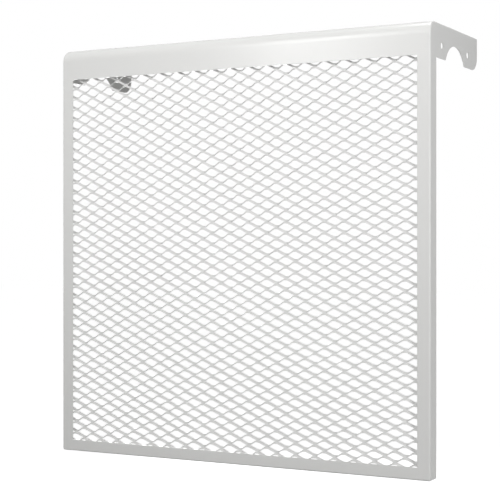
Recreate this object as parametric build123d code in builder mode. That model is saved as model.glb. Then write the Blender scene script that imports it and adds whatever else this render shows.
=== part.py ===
"""Hang-on radiator cover: a folded sheet-steel front frame with a rolled top edge,
a deck, two notched ears and a raised expanded-metal panel held by four folded strips.

Millimetres, +Z up, front face towards -Y, X to the right as seen from the front.
The origin is the middle of the deck's underside, which rests on top of the radiator.
"""
import os

from build123d import *

# ---------------------------------------------------------------- driving dimensions
# overall
width = 600.0                # over the two side faces
height = 615.0               # top of the deck to the bottom edge
depth = 190.0                # front face to the rear edge of the deck and ears
sheet = 1.0                  # frame sheet thickness

# folds
roll_radius = 18.0           # outside radius of the rolled edge between front and deck
corner_radius = 2.5          # outside radius of the side and bottom folds
flange_depth = 22.0          # side and bottom return flanges, front face to free edge

# front frame
top_rail_height = 46.5       # top of the deck to the window
bottom_rail_height = 17.0    # bottom edge to the window
stile_width = 19.0           # side face to the window

# ears
ear_height = 48.0            # top of the deck to the ear's lower edge
ear_rear_radius = 21.5       # rear lower corner of the ear
arch_radius = 42.5           # notch that straddles the radiator's end pipe
arch_setback = 96.4          # front face to the middle of the notch
arch_drop = 67.0             # top of the deck to the centre of the notch's circle
arch_front_radius = 3.5      # rounding between the notch and the front prong
arch_rear_radius = 5.0       # rounding between the notch and the rear prong
ear_hole_diameter = 9.0
ear_hole_spacing = 105.3     # centred on the notch
ear_hole_drop = 29.7         # top of the deck to the hole centres

# expanded-metal panel
long_pitch = 30.0            # bond to bond along a row
short_pitch = 15.96          # bond to bond up a column
bond_length = 5.7            # flat length of a bond along the row
strand_rise = 2.85           # height of one strand's face seen from the front
strand_lean = 3.3            # how far a strand's upper edge stands back from its lower edge
strand_depth = 2.7           # strand thickness measured front to back
first_row_drop = 5.0         # window's top edge to the uppermost bonds in view
first_column_inset = 22.7    # right side face to the nearest bond of that row
mesh_side_gap = 2.0          # panel's side edges to the side flanges
mesh_top_lap = 12.0          # most that the panel may reach above the window
mesh_bottom_gap = 3.0        # least gap between the panel and the bottom flange

# strips that clamp the panel
strip_sheet = 1.0
strip_grip = 6.0             # how far a strip reaches over the panel's edge
strip_foot = 10.0            # width of the leg that is welded to the frame
strip_web_gap = 1.0          # panel's upper edge to the top strip's web
strip_joint_gap = 0.5        # between neighbouring strips
strip_end_gap = 3.0          # ends of the top and bottom strips to the side flanges
strip_fold = 1.0             # radius of the strips' folds at mid-sheet

# ---------------------------------------------------------------- derived places
half_width = width / 2
y_front = -depth / 2
y_rear = depth / 2
z_top = sheet
z_bottom = z_top - height
z_window_top = z_top - top_rail_height
z_window_bottom = z_bottom + bottom_rail_height
z_ear_bottom = z_top - ear_height
y_arch = y_front + arch_setback
y_flange_edge = y_front + flange_depth
x_window = half_width - stile_width
x_flange = half_width - sheet                  # inner face of a side flange
x_seam = half_width - corner_radius            # the rails butt against the side pieces here

row_step = short_pitch / 2
column_step = long_pitch / 2
y_mesh_front = y_front + sheet                 # the panel lies against the back of the frame
y_mesh_rear = y_mesh_front + 2 * strand_lean + strand_depth
x_mesh = x_flange - mesh_side_gap
z_first_row = z_window_top - first_row_drop
rows_above = int((first_row_drop + mesh_top_lap) // row_step)
rows_below = int((z_first_row - z_bottom - sheet - mesh_bottom_gap) // row_step)
z_mesh_top = z_first_row + rows_above * row_step
z_mesh_bottom = z_first_row - rows_below * row_step
z_top_grip = z_mesh_top - strip_grip           # lower edge of the top strip
z_bottom_grip = z_mesh_bottom + strip_grip     # upper edge of the bottom strip
x_side_grip = x_mesh - strip_grip              # inner edge of a side strip

beyond = 5.0                                   # how far cutting shapes run past the metal
near = 0.01                                    # tolerance for picking edges and corners by place


# ---------------------------------------------------------------- frame: one folded skin
def folded_form(inset, y_back):
    """Solid under the folded sheet's outer face (inset 0) or its inner face (inset = sheet)."""
    y_face = y_front + inset
    z_floor = z_bottom + inset
    with BuildPart() as form:
        with BuildSketch(Plane.YZ):
            with BuildLine():
                roll_centre = (y_front + roll_radius, z_top - roll_radius)
                roll = CenterArc(roll_centre, roll_radius - inset, 90, 90)
                Polyline(
                    roll @ 1,
                    (y_face, z_floor),
                    (y_back, z_floor),
                    (y_back, z_top - inset),
                    roll @ 0,
                )
            make_face()
        extrude(amount=half_width - inset, both=True)
        side_edges = form.faces().filter_by(Axis.X).edges()
        rims = side_edges.filter_by(lambda edge: edge.center().Y < y_back - near)
        front_foot = form.edges().filter_by(Axis.X).group_by(Axis.Z)[0].sort_by(Axis.Y)[0]
        fillet(rims + [front_foot], corner_radius - inset)
    return form.part


# side view of the whole frame, open past the metal wherever nothing is trimmed
with BuildSketch(Plane.YZ) as side_outline:
    z_above = z_top + beyond
    z_below = z_bottom - beyond
    y_before = y_front - beyond
    with BuildLine():
        Polyline(
            (y_before, z_above),
            (y_rear, z_above),
            (y_rear, z_ear_bottom),
            (y_flange_edge, z_ear_bottom),
            (y_flange_edge, z_below),
            (y_before, z_below),
            close=True,
        )
    make_face()
    rear_corner = side_outline.vertices().group_by(Axis.X)[-1].sort_by(Axis.Y)[0]
    fillet(rear_corner, ear_rear_radius)
    # notch
    with Locations((y_arch, z_top - arch_drop)):
        Circle(arch_radius, mode=Mode.SUBTRACT)
    prong_tips = side_outline.vertices().filter_by(
        lambda tip: abs(tip.Y - z_ear_bottom) < near and abs(tip.X - y_arch) < arch_radius
    )
    fillet(prong_tips.sort_by(Axis.X)[0], arch_front_radius)
    prong_tips = side_outline.vertices().filter_by(
        lambda tip: abs(tip.Y - z_ear_bottom) < near and y_arch < tip.X < y_arch + arch_radius
    )
    fillet(prong_tips, arch_rear_radius)
    # screw holes
    with Locations((y_arch, z_top - ear_hole_drop)):
        with GridLocations(ear_hole_spacing, 0, 2, 1):
            Circle(ear_hole_diameter / 2, mode=Mode.SUBTRACT)

with BuildPart() as frame_skin:
    add(folded_form(0, y_rear + beyond))
    add(folded_form(sheet, y_rear + 2 * beyond), mode=Mode.SUBTRACT)
    extrude(side_outline.sketch, amount=half_width + beyond, both=True, mode=Mode.INTERSECT)
    # window
    with BuildSketch(Plane.XZ.offset(-y_front)):
        with Locations((0, (z_window_top + z_window_bottom) / 2)):
            Rectangle(2 * x_window, z_window_top - z_window_bottom)
    extrude(amount=beyond, both=True, mode=Mode.SUBTRACT)


def front_zone(x_min, x_max, z_min, z_max):
    """Front-view rectangle that picks one piece out of the folded skin."""
    with BuildSketch(Plane.XZ) as zone:
        with Locations(((x_min + x_max) / 2, (z_min + z_max) / 2)):
            Rectangle(x_max - x_min, z_max - z_min)
    return zone.sketch


# ---------------------------------------------------------------- frame pieces
with BuildPart() as top_shell:
    add(frame_skin.part)
    upper_zone = front_zone(-x_seam, x_seam, z_window_top, z_top + beyond)
    extrude(upper_zone, amount=depth, both=True, mode=Mode.INTERSECT)

with BuildPart() as bottom_rail:
    add(frame_skin.part)
    lower_zone = front_zone(-x_seam, x_seam, z_bottom - beyond, z_window_bottom)
    extrude(lower_zone, amount=depth, both=True, mode=Mode.INTERSECT)

with BuildPart() as right_side:
    add(frame_skin.part)
    stile_zone = front_zone(0, x_seam, z_window_bottom, z_window_top)
    fold_zone = front_zone(x_seam, half_width + beyond, z_bottom - beyond, z_top + beyond)
    extrude(stile_zone + fold_zone, amount=depth, both=True, mode=Mode.INTERSECT)

with BuildPart() as left_side:
    add(right_side.part.mirror(Plane.YZ))


# ---------------------------------------------------------------- expanded-metal panel
def strand_runs(row):
    """Straight runs (x, level, x, level) of one row of strands between the panel's side edges.

    Level 0 is where the row is bonded to the row below, level 1 to the row above.
    """
    x_low = half_width - first_column_inset + (row % 2) * column_step
    first = int((-x_mesh - x_low) // long_pitch)
    last = int((x_mesh - x_low) // long_pitch)
    knots = []
    for column in range(first, last + 1):
        for level in (0, 1):
            x_bond = x_low + column * long_pitch + level * column_step
            knots.append((x_bond - bond_length / 2, level))
            knots.append((x_bond + bond_length / 2, level))
    knots.append((x_low + (last + 1) * long_pitch - bond_length / 2, 0))
    runs = []
    for (x_a, level_a), (x_b, level_b) in zip(knots, knots[1:]):
        x_from = max(x_a, -x_mesh)
        x_to = min(x_b, x_mesh)
        if x_from < x_to:
            climb = (level_b - level_a) / (x_b - x_a)
            level_from = level_a + climb * (x_from - x_a)
            level_to = level_a + climb * (x_to - x_a)
            runs.append((x_from, level_from, x_to, level_to))
    return runs


def flat_face(points):
    return Face(Wire.make_polygon(points, close=True))


def row_faces(row):
    """Outer faces of one row of strands; the row below covers the lower half of a shared bond."""
    z_low = z_first_row - row * row_step
    lowest = row == rows_below
    highest = row == 1 - rows_above

    def corner(x, level, up, back):
        """Point of a strand's section: up 0 to 1 over its face (2 over a whole bond), back 0 or 1."""
        y = y_mesh_front + strand_lean * (1 + up - level) + strand_depth * back
        z = z_low + (row_step - strand_rise) * level + strand_rise * up
        return Vector(x, y, z)

    faces = []
    runs = strand_runs(row)
    for x_a, a, x_b, b in runs:
        low_bond = a == b == 0
        high_bond = a == b == 1
        if lowest or not low_bond:
            steps = (0, 1) if highest or not high_bond else (0, 1, 2)
            for back in (0, 1):
                rising = [corner(x_b, b, up, back) for up in steps]
                falling = [corner(x_a, a, up, back) for up in reversed(steps)]
                faces.append(flat_face(rising + falling))
        for up, bonded in ((0, low_bond and not lowest), (1, high_bond and not highest)):
            if not bonded:
                near_edge = [corner(x_a, a, up, 0), corner(x_b, b, up, 0)]
                far_edge = [corner(x_b, b, up, 1), corner(x_a, a, up, 1)]
                faces.append(flat_face(near_edge + far_edge))
    for x, level in (runs[0][:2], runs[-1][2:]):
        ring = [corner(x, level, up, back) for up, back in ((0, 0), (1, 0), (1, 1), (0, 1))]
        faces.append(flat_face(ring))
    return faces


with BuildPart() as mesh_panel:
    mesh_faces = []
    for mesh_row in range(1 - rows_above, rows_below + 1):
        mesh_faces += row_faces(mesh_row)
    add(Solid(Shell(mesh_faces)))


# ---------------------------------------------------------------- strips
half_sheet = strip_sheet / 2
y_grip = y_mesh_rear + half_sheet              # mid-sheet of the legs on the back of the panel
y_foot_end = y_mesh_rear + strip_foot
x_foot = x_flange - half_sheet
z_web = z_mesh_top + strip_web_gap + half_sheet
z_floor_leg = z_bottom + sheet + half_sheet
side_strip_length = z_top_grip - z_bottom_grip - 2 * strip_joint_gap
cross_strip_reach = x_flange - strip_end_gap

with BuildPart() as mesh_strip_right:
    with BuildSketch(Plane.XY.offset(z_bottom_grip + strip_joint_gap)):
        with BuildLine():
            right_fold = ((x_side_grip, y_grip), (x_foot, y_grip), (x_foot, y_foot_end))
            FilletPolyline(*right_fold, radius=strip_fold)
        trace(line_width=strip_sheet)
    extrude(amount=side_strip_length)

with BuildPart() as mesh_strip_left:
    add(mesh_strip_right.part.mirror(Plane.YZ))

with BuildPart() as mesh_strip_top:
    with BuildSketch(Plane.YZ):
        with BuildLine():
            y_rail_leg = y_mesh_front + half_sheet
            FilletPolyline(
                (y_rail_leg, z_web + strip_foot),
                (y_rail_leg, z_web),
                (y_grip, z_web),
                (y_grip, z_top_grip),
                radius=strip_fold,
            )
        trace(line_width=strip_sheet)
    extrude(amount=cross_strip_reach, both=True)

with BuildPart() as mesh_strip_bottom:
    with BuildSketch(Plane.YZ):
        with BuildLine():
            bottom_fold = ((y_grip, z_bottom_grip), (y_grip, z_floor_leg), (y_foot_end, z_floor_leg))
            FilletPolyline(*bottom_fold, radius=strip_fold)
        trace(line_width=strip_sheet)
    extrude(amount=cross_strip_reach, both=True)


# ---------------------------------------------------------------- one file per piece
pieces = {
    "top_shell": top_shell,
    "bottom_rail": bottom_rail,
    "left_side": left_side,
    "right_side": right_side,
    "mesh_panel": mesh_panel,
    "mesh_strip_top": mesh_strip_top,
    "mesh_strip_bottom": mesh_strip_bottom,
    "mesh_strip_left": mesh_strip_left,
    "mesh_strip_right": mesh_strip_right,
}
os.makedirs("parts", exist_ok=True)
for name, piece in pieces.items():
    piece.part.label = name
    export_step(piece.part, f"parts/{name}.step", write_pcurves=False)
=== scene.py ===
"""Hang-on radiator cover in white powder coat, seen from the front right at mid height.

Metres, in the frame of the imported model: +Z up, front face towards -Y, origin in the middle of the
deck's underside.
"""
import math

import bmesh
import bpy
import numpy as np
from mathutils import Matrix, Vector


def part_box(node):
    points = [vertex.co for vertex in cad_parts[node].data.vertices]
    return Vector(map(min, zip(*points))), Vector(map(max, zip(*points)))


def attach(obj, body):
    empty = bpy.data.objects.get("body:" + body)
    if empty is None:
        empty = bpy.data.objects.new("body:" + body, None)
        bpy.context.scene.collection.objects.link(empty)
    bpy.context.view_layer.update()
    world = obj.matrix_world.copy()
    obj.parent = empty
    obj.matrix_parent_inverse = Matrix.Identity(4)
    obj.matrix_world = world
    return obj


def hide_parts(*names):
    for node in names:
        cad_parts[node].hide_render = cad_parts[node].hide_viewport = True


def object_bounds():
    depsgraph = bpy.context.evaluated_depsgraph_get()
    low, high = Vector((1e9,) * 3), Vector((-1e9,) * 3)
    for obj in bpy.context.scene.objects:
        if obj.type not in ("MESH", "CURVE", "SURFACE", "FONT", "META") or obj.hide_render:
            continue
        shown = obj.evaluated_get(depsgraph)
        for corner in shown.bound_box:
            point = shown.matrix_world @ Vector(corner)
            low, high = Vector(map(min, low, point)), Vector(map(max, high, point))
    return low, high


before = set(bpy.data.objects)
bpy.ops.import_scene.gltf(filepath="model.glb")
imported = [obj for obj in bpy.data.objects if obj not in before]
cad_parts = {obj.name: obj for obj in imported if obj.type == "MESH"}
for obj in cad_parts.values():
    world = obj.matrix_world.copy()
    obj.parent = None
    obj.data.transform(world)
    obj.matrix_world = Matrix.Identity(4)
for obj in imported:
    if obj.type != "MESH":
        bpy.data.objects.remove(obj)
cad_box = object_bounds()

MM = 0.001

# ---------------------------------------------------------------- expanded metal, as in the CAD panel
LONG_PITCH = 30.0 * MM
SHORT_PITCH = 15.96 * MM
BOND_LENGTH = 5.7 * MM
BOND_ROUNDING = 1.6 * MM         # a strand bends over this much on either side of a bond's end
STRAND_RISE = 2.85 * MM          # lower edge of a strand to its upper edge, upwards
STRAND_LEAN = 3.3 * MM           # and backwards
STRAND_DEPTH = 2.7 * MM          # front face of a strand to its back face, along Y
FIRST_ROW_DROP = 5.0 * MM        # window's top edge to the uppermost bonds in view
FIRST_COLUMN_INSET = 22.7 * MM   # right side face to the nearest bond of that row
EDGE_SOFTENING = 0.3 * MM        # coating's rounding of the strands' edges, not in the CAD panel

ROW_STEP = SHORT_PITCH / 2
COLUMN_STEP = LONG_PITCH / 2
TIP_PLACE = BOND_LENGTH / 2 - BOND_ROUNDING   # middle of a bond to the tip of the opening beside it
BEND_STEP = 0.4 * MM             # sections stand this far on either side of a bend
END_GAP = 0.1 * MM               # and no nearer than this to the panel's ends
TIP_TOLERANCE = 0.01 * MM
MERGE_DISTANCE = 0.002 * MM      # points of two rows as near as this are the same point
PLACE_DIGITS = 9                 # decimals of a metre to which two places along X are the same

# ---------------------------------------------------------------- powder coat
MOTTLE_SCALE, MOTTLE_DETAIL = 9.0, 3.0        # slow drift of colour and gloss
PEEL_SCALE, PEEL_DETAIL = 650.0, 2.0          # orange peel, 1.5 mm across
PEEL_STRENGTH, PEEL_HEIGHT = 0.12, 0.2 * MM
GLOSS_SPREAD = 0.03                           # roughness drifts this far up and down

# ---------------------------------------------------------------- camera, measured in the photo
CAMERA_PLACE = Vector((931.0, -1773.4, -304.3)) * MM
CAMERA_YAW = math.radians(28.29)
FOCAL_PIXELS = 1337.6
FRAME_PIXELS = 500.0
HORIZON_PIXEL = 248.67           # row of the horizon in the 500 x 500 frame
SENSOR_WIDTH = 36.0              # in millimetres, as the camera takes it

# ---------------------------------------------------------------- stage and light
WHITE = (1, 1, 1, 1)
FLOOR_DROP = 0.30                # object's lower edge to the floor
FLOOR_SIZE = 30.0
FLOOR_SHADE = 0.40
FLOOR_GLOW = 0.86                # how far the floor is lifted to white near the object
FADE_FROM, FADE_TO = 0.8, 1.6    # metres from the middle over which it fades into plain white
WORLD_FILL = 0.004               # strength of the world's light on the object
LAMP_AIM = Vector((0, -0.1, -0.3))


# ---------------------------------------------------------------- materials
def node_tree(owner):
    """The empty node tree of a material or a world."""
    owner.use_nodes = True
    tree = owner.node_tree
    tree.nodes.clear()
    return tree


def add_node(tree, kind, **settings):
    node = tree.nodes.new(kind)
    for name, value in settings.items():
        setattr(node, name, value)
    return node


def set_inputs(node, **values):
    """Sets a node's sockets, with _ for the spaces in their names."""
    for name, value in values.items():
        node.inputs[name.replace("_", " ")].default_value = value


def powder_coat(name, colour, shade, level, roughness):
    """Satin powder coat: orange-peel bump, faint mottling of colour and gloss."""
    material = bpy.data.materials.new(name)
    tree = node_tree(material)
    link = tree.links.new
    place = add_node(tree, "ShaderNodeTexCoord").outputs["Object"]

    mottle = add_node(tree, "ShaderNodeTexNoise")
    set_inputs(mottle, Scale=MOTTLE_SCALE, Detail=MOTTLE_DETAIL)
    link(place, mottle.inputs["Vector"])
    tint = add_node(tree, "ShaderNodeMix", data_type="RGBA")
    set_inputs(tint, A=(*colour, 1.0), B=(*[part * shade for part in colour], 1.0))
    link(mottle.outputs["Fac"], tint.inputs["Factor"])

    peel = add_node(tree, "ShaderNodeTexNoise")
    set_inputs(peel, Scale=PEEL_SCALE, Detail=PEEL_DETAIL)
    link(place, peel.inputs["Vector"])
    bump = add_node(tree, "ShaderNodeBump")
    set_inputs(bump, Strength=PEEL_STRENGTH, Distance=PEEL_HEIGHT)
    link(peel.outputs["Fac"], bump.inputs["Height"])

    gloss = add_node(tree, "ShaderNodeMapRange")
    set_inputs(gloss, To_Min=roughness - GLOSS_SPREAD, To_Max=roughness + GLOSS_SPREAD)
    link(mottle.outputs["Fac"], gloss.inputs["Value"])

    shader = add_node(tree, "ShaderNodeBsdfPrincipled")
    set_inputs(shader, Specular_IOR_Level=level)
    link(tint.outputs["Result"], shader.inputs["Base Color"])
    link(gloss.outputs["Result"], shader.inputs["Roughness"])
    link(bump.outputs["Normal"], shader.inputs["Normal"])
    output = add_node(tree, "ShaderNodeOutputMaterial")
    link(shader.outputs["BSDF"], output.inputs["Surface"])
    return material


FRAME_COAT = powder_coat("frame_coat", colour=(0.80, 0.80, 0.785), shade=0.97, level=0.5, roughness=0.26)
MESH_COAT = powder_coat("mesh_coat", colour=(0.82, 0.82, 0.81), shade=0.97, level=0.2, roughness=0.30)
STRIP_COAT = powder_coat("strip_coat", colour=(0.76, 0.76, 0.745), shade=0.95, level=0.5, roughness=0.26)


def dress(piece, material):
    piece.data.materials.clear()
    piece.data.materials.append(material)


# ---------------------------------------------------------------- expanded-metal panel
panel_low, panel_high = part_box("mesh_panel")
window_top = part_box("top_shell")[0].z
right_face = cad_box[1][0]

# state of a strand's edge: joined to the next row, at the tip of an opening, or free
BONDED, TIP, OPEN = 0, 1, 2
# those of a row's eight lines of points that bound its front and back faces
LOWER_FRONT, LOWER_BACK, UPPER_FRONT, UPPER_BACK = 0, 3, 4, 7


def strand_level(distance):
    """Height of a strand, 0 to 1, at a distance along X from the middle of its lower bond."""
    start = BOND_LENGTH / 2
    run = COLUMN_STEP - BOND_LENGTH
    ramp = np.clip((distance - start) / run, 0, 1)
    for corner, sign in ((start, 1), (start + run, -1)):
        inside = np.abs(distance - corner) < BOND_ROUNDING
        lift = (BOND_ROUNDING - np.abs(distance - corner)) ** 2 / (4 * BOND_ROUNDING * run)
        ramp = np.where(inside, ramp + sign * lift, ramp)
    return ramp


def section_places():
    """Distances from a lower bond's middle to its neighbour's at which a strand gets a section."""
    bend = BOND_LENGTH / 2
    near = [0, TIP_PLACE, bend - BEND_STEP, bend + BEND_STEP, bend + BOND_ROUNDING]
    return np.array(near + [COLUMN_STEP / 2] + [COLUMN_STEP - place for place in reversed(near)])


def row_sections(row):
    """X, distance from the lower bond and level of every section of one row of strands."""
    x_bond = right_face - FIRST_COLUMN_INSET + (row % 2) * COLUMN_STEP
    places = section_places()
    first = math.floor((panel_low.x - x_bond) / LONG_PITCH) - 1
    last = first + math.ceil((panel_high.x - panel_low.x) / LONG_PITCH) + 3
    xs = []
    for column in range(first, last + 1):
        middle = x_bond + column * LONG_PITCH
        xs += [middle - place for place in places[1:]] + [middle + place for place in places[:-1]]
    xs = np.unique(np.round(xs, PLACE_DIGITS))
    inside = xs[(xs > panel_low.x + END_GAP) & (xs < panel_high.x - END_GAP)]
    xs = np.concatenate(([panel_low.x], inside, [panel_high.x]))
    distance = np.abs((xs - x_bond + COLUMN_STEP) % LONG_PITCH - COLUMN_STEP)
    return xs, distance, strand_level(distance)


def edge_state(distance, joined):
    """State of an edge at each section; only an edge that has a next row is joined to it."""
    if not joined:
        return np.full(distance.shape, OPEN)
    tip = np.abs(distance - TIP_PLACE) < TIP_TOLERANCE
    return np.where(tip, TIP, np.where(distance < TIP_PLACE, BONDED, OPEN))


def strand_lines(z_bond, xs, distance, level, lower, upper):
    """Eight lines of points along a row: four round its lower edge, then four round its upper one."""
    climb = ROW_STEP - STRAND_RISE
    soft_up = EDGE_SOFTENING / math.hypot(STRAND_RISE, STRAND_LEAN)
    soft_back = EDGE_SOFTENING / STRAND_DEPTH
    outward = np.sign(np.gradient(distance))   # the way along X that leads away from the lower bond

    def line(up, back, shift):
        y = panel_low.y + STRAND_LEAN * (1 + up - level) + STRAND_DEPTH * back
        z = z_bond + climb * level + STRAND_RISE * up
        return np.stack([xs + shift, y, z], axis=1)

    lines = []
    for up, inward, state, away in ((0, 1, lower, outward), (1, -1, upper, -outward)):
        softened = up + np.where(state == OPEN, soft_up, 0.0) * inward
        shift = np.where(state == TIP, away * EDGE_SOFTENING, 0.0)
        lines += [
            line(softened, 0, 0),
            line(up, soft_back, shift),
            line(up, 1 - soft_back, shift),
            line(softened, 1, 0),
        ]
    return lines


def strand_faces(base, count, lower, upper):
    """Faces of one row of strands whose points start at base. Bonded edges get none."""
    def at(line, i):
        return base + line * count + i

    faces = []
    for i in range(count - 1):
        j = i + 1
        faces.append((at(LOWER_FRONT, i), at(LOWER_FRONT, j), at(UPPER_FRONT, j), at(UPPER_FRONT, i)))
        faces.append((at(LOWER_BACK, j), at(LOWER_BACK, i), at(UPPER_BACK, i), at(UPPER_BACK, j)))
        if lower[i] != BONDED and lower[j] != BONDED:
            for line in range(LOWER_FRONT, LOWER_BACK):
                faces.append((at(line, j), at(line, i), at(line + 1, i), at(line + 1, j)))
        if upper[i] != BONDED and upper[j] != BONDED:
            for line in range(UPPER_FRONT, UPPER_BACK):
                faces.append((at(line, i), at(line, j), at(line + 1, j), at(line + 1, i)))
    for i, flip in ((0, False), (count - 1, True)):
        step_up = LOWER_BACK - LOWER_FRONT if lower[i] == BONDED else 1
        step_down = LOWER_FRONT - LOWER_BACK if upper[i] == BONDED else -1
        outline = [at(line, i) for line in range(LOWER_FRONT, LOWER_BACK + 1, step_up)]
        outline += [at(line, i) for line in range(UPPER_BACK, UPPER_FRONT - 1, step_down)]
        faces.append(tuple(reversed(outline) if flip else outline))
    return faces


def close_mesh(mesh):
    """Joins the rows at their bonds and turns every face outwards."""
    shape = bmesh.new()
    shape.from_mesh(mesh)
    bmesh.ops.remove_doubles(shape, verts=shape.verts, dist=MERGE_DISTANCE)
    loose = [point for point in shape.verts if not point.link_faces]
    bmesh.ops.delete(shape, geom=loose, context="VERTS")
    bmesh.ops.recalc_face_normals(shape, faces=shape.faces)
    open_edges = sum(1 for edge in shape.edges if len(edge.link_faces) != 2)
    print("mesh panel:", len(shape.faces), "faces,", open_edges, "open edges")
    for face in shape.faces:
        face.smooth = True
    shape.to_mesh(mesh)
    shape.free()


def build_panel():
    first_row = window_top - FIRST_ROW_DROP
    top_row = 1 - round((panel_high.z - first_row) / ROW_STEP)
    bottom_row = round((first_row - panel_low.z) / ROW_STEP)
    points, faces = [], []
    for row in range(top_row, bottom_row + 1):
        xs, distance, level = row_sections(row)
        lower = edge_state(distance, joined=row != bottom_row)
        upper = edge_state(COLUMN_STEP - distance, joined=row != top_row)
        faces += strand_faces(sum(len(line) for line in points), len(xs), lower, upper)
        points += strand_lines(first_row - row * ROW_STEP, xs, distance, level, lower, upper)

    mesh = bpy.data.meshes.new("mesh_panel_strands")
    mesh.from_pydata(np.concatenate(points).tolist(), [], faces)
    close_mesh(mesh)
    piece = bpy.data.objects.new("mesh_panel_strands", mesh)
    bpy.context.scene.collection.objects.link(piece)
    dress(piece, MESH_COAT)
    # wide faces stay flat and the softened edges carry the turn
    weigh = piece.modifiers.new("weighted normals", "WEIGHTED_NORMAL")
    weigh.keep_sharp = True
    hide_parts("mesh_panel")
    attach(piece, "root")


# ---------------------------------------------------------------- stage, light and camera
def background_share(tree):
    """1 for the rays that see the plain white background, 0 for those that light the object."""
    seen = add_node(tree, "ShaderNodeLightPath")
    direct = add_node(tree, "ShaderNodeMath", operation="MAXIMUM")
    tree.links.new(seen.outputs["Is Camera Ray"], direct.inputs[0])
    tree.links.new(seen.outputs["Is Glossy Ray"], direct.inputs[1])
    shown = add_node(tree, "ShaderNodeMath", operation="MAXIMUM")
    tree.links.new(direct.outputs["Value"], shown.inputs[0])
    tree.links.new(seen.outputs["Is Transmission Ray"], shown.inputs[1])
    return shown.outputs["Value"]


def show_background(tree, lighting, shown, output_kind):
    """Ends a tree: one shader lights the object, the other is what the background looks like."""
    mix = add_node(tree, "ShaderNodeMixShader")
    tree.links.new(background_share(tree), mix.inputs["Fac"])
    tree.links.new(lighting, mix.inputs[1])
    tree.links.new(shown, mix.inputs[2])
    output = add_node(tree, output_kind)
    tree.links.new(mix.outputs["Shader"], output.inputs["Surface"])


def build_floor():
    """Pale floor, lifted to the background's white where it is seen; the shadow stays on it."""
    bpy.ops.mesh.primitive_plane_add(size=FLOOR_SIZE)
    floor = bpy.context.object
    floor.name = "floor"
    floor.location = (0, 0, cad_box[0][2] - FLOOR_DROP)
    material = bpy.data.materials.new("floor")
    tree = node_tree(material)
    link = tree.links.new
    plain = add_node(tree, "ShaderNodeBsdfDiffuse")
    set_inputs(plain, Color=(FLOOR_SHADE, FLOOR_SHADE, FLOOR_SHADE, 1))
    place = add_node(tree, "ShaderNodeTexCoord").outputs["Object"]
    away = add_node(tree, "ShaderNodeVectorMath", operation="LENGTH")
    link(place, away.inputs[0])
    lift = add_node(tree, "ShaderNodeMapRange", interpolation_type="SMOOTHSTEP")
    set_inputs(lift, From_Min=FADE_FROM, From_Max=FADE_TO, To_Min=FLOOR_GLOW, To_Max=1.0)
    link(away.outputs["Value"], lift.inputs["Value"])
    glow = add_node(tree, "ShaderNodeEmission")
    link(lift.outputs["Result"], glow.inputs["Strength"])
    lifted = add_node(tree, "ShaderNodeAddShader")
    link(plain.outputs["BSDF"], lifted.inputs[0])
    link(glow.outputs["Emission"], lifted.inputs[1])
    show_background(tree, plain.outputs["BSDF"], lifted.outputs["Shader"], "ShaderNodeOutputMaterial")
    floor.data.materials.append(material)


def build_world():
    world = bpy.data.worlds.new("studio")
    bpy.context.scene.world = world
    tree = node_tree(world)
    fill = add_node(tree, "ShaderNodeBackground")
    set_inputs(fill, Color=WHITE, Strength=WORLD_FILL)
    white = add_node(tree, "ShaderNodeBackground")
    set_inputs(white, Color=WHITE, Strength=1.0)
    show_background(tree, fill.outputs["Background"], white.outputs["Background"], "ShaderNodeOutputWorld")


def build_lamp(name, place, size, watts):
    lamp = bpy.data.lights.new(name, "AREA")
    lamp.shape = "RECTANGLE"
    lamp.size, lamp.size_y = size
    lamp.energy = watts
    holder = bpy.data.objects.new(name, lamp)
    holder.visible_camera = False
    holder.location = place
    holder.rotation_euler = (LAMP_AIM - Vector(place)).to_track_quat("-Z", "Y").to_euler()
    bpy.context.scene.collection.objects.link(holder)


def build_camera():
    camera = bpy.data.cameras.new("camera")
    camera.sensor_width = SENSOR_WIDTH
    camera.lens = FOCAL_PIXELS / FRAME_PIXELS * SENSOR_WIDTH
    camera.shift_y = (HORIZON_PIXEL - FRAME_PIXELS / 2) / FRAME_PIXELS
    holder = bpy.data.objects.new("camera", camera)
    holder.location = CAMERA_PLACE
    holder.rotation_euler = (math.pi / 2, 0, CAMERA_YAW)
    bpy.context.scene.collection.objects.link(holder)
    bpy.context.scene.camera = holder


build_panel()
for node in ("top_shell", "bottom_rail", "left_side", "right_side"):
    dress(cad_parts[node], FRAME_COAT)
for node in ("mesh_strip_top", "mesh_strip_bottom", "mesh_strip_left", "mesh_strip_right"):
    dress(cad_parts[node], STRIP_COAT)

build_floor()
build_world()
build_lamp("key", place=(0.85, -0.95, 0.90), size=(0.6, 0.6), watts=3.0)
build_lamp("side", place=(1.63, -0.86, -0.25), size=(0.6, 0.6), watts=8.6)
build_lamp("strip", place=(-0.36, -1.05, 0.38), size=(0.25, 0.7), watts=5.3)
build_lamp("front", place=(0.49, -1.14, 0.35), size=(0.6, 0.6), watts=4.3)
build_lamp("left", place=(-0.9, -1.66, -0.25), size=(0.6, 0.6), watts=2.7)
build_lamp("end", place=(1.15, -0.2, 0.35), size=(0.6, 0.6), watts=1.5)
build_lamp("top", place=(0.0, 0.1, 1.3), size=(0.4, 0.4), watts=6.0)
build_lamp("back", place=(-1.2, 1.6, -0.25), size=(0.8, 0.8), watts=14.0)
build_camera()
bpy.context.scene.view_settings.view_transform = "Standard"
